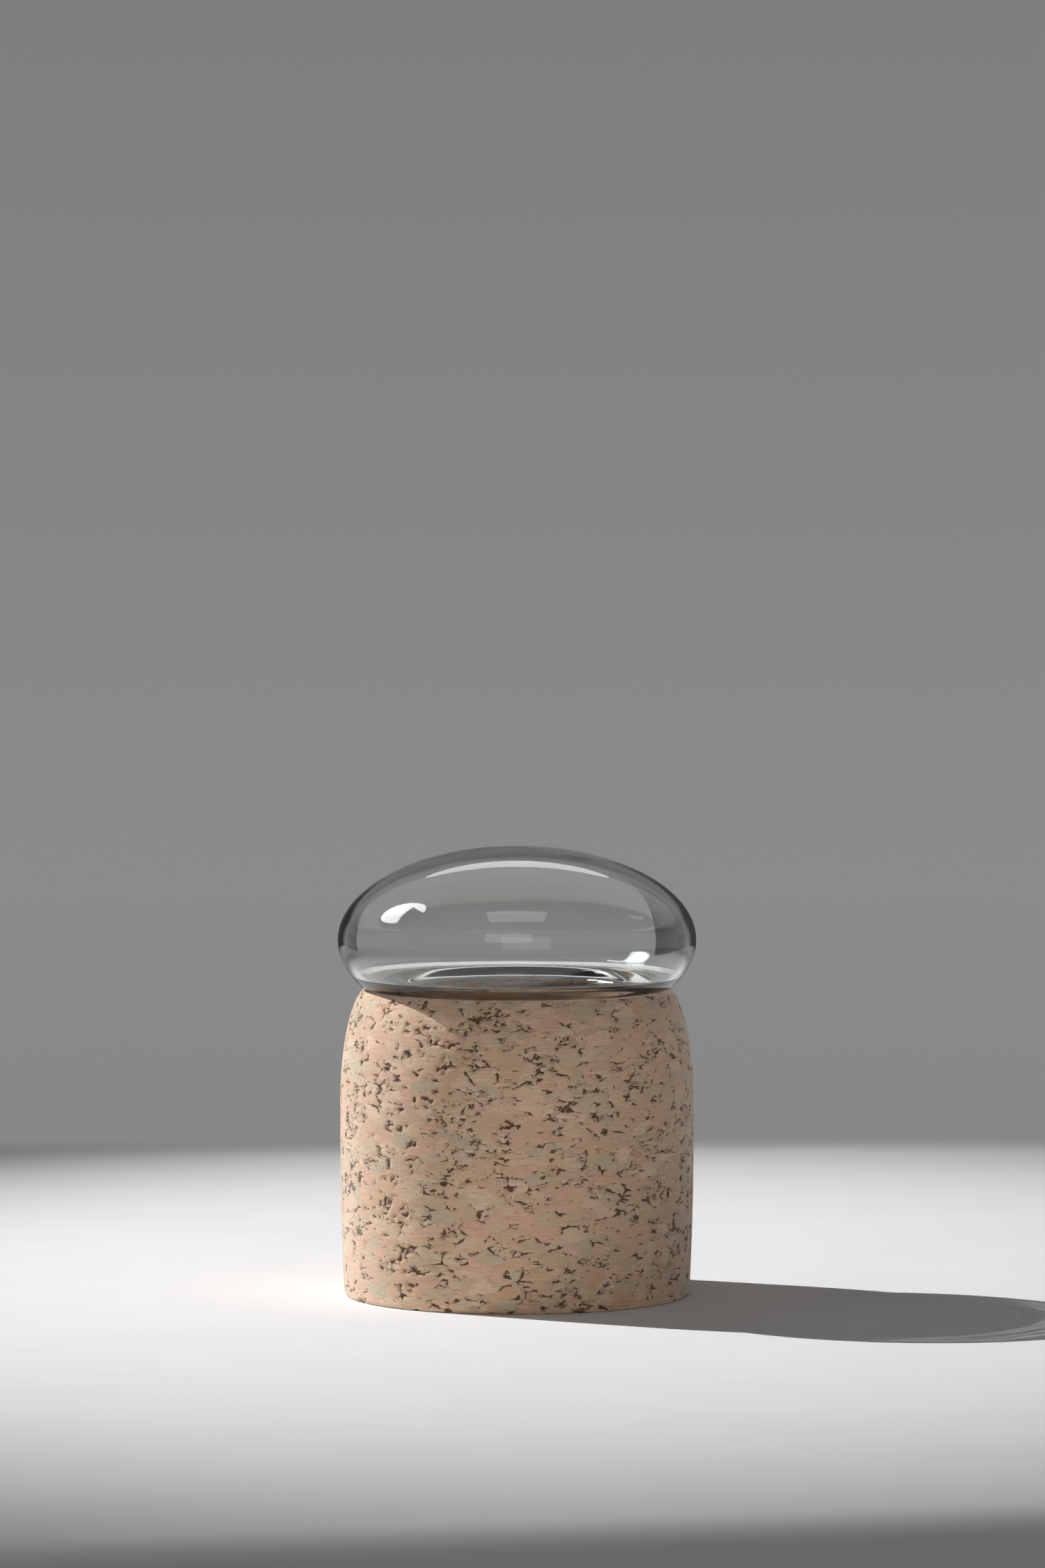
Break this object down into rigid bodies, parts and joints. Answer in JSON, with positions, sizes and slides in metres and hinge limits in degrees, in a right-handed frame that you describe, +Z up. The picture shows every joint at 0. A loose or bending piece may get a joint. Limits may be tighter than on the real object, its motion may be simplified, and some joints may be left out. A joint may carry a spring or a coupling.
{
  "type": "lidded jar",
  "caption": "Thick-walled turned cork jar with a flat rim, closed by a hollow, flattened clear-glass dome whose neck drops into the mouth and lifts straight off.",
  "frame": {"origin": "centre of the flat underside of the cork body, on the surface that it stands on", "axes": "+Z up along the axis of the jar and the way the lid lifts; every piece is round about +Z, so +X and +Y are alike"},
  "size_m": [0.1014, 0.1014, 0.127],
  "materials": {
    "cork": "matte",
    "clear_glass": "polished"
  },
  "bodies": {
    "jar": {"cork_body": "cork"},
    "lid": {"glass_lid": "clear_glass"}
  },
  "joints": [
    {"name": "lid_lift", "type": "slide", "parent": "jar", "child": "lid", "axis": [0, 0, 1], "range_m": [0, 0.05]}
  ]
}
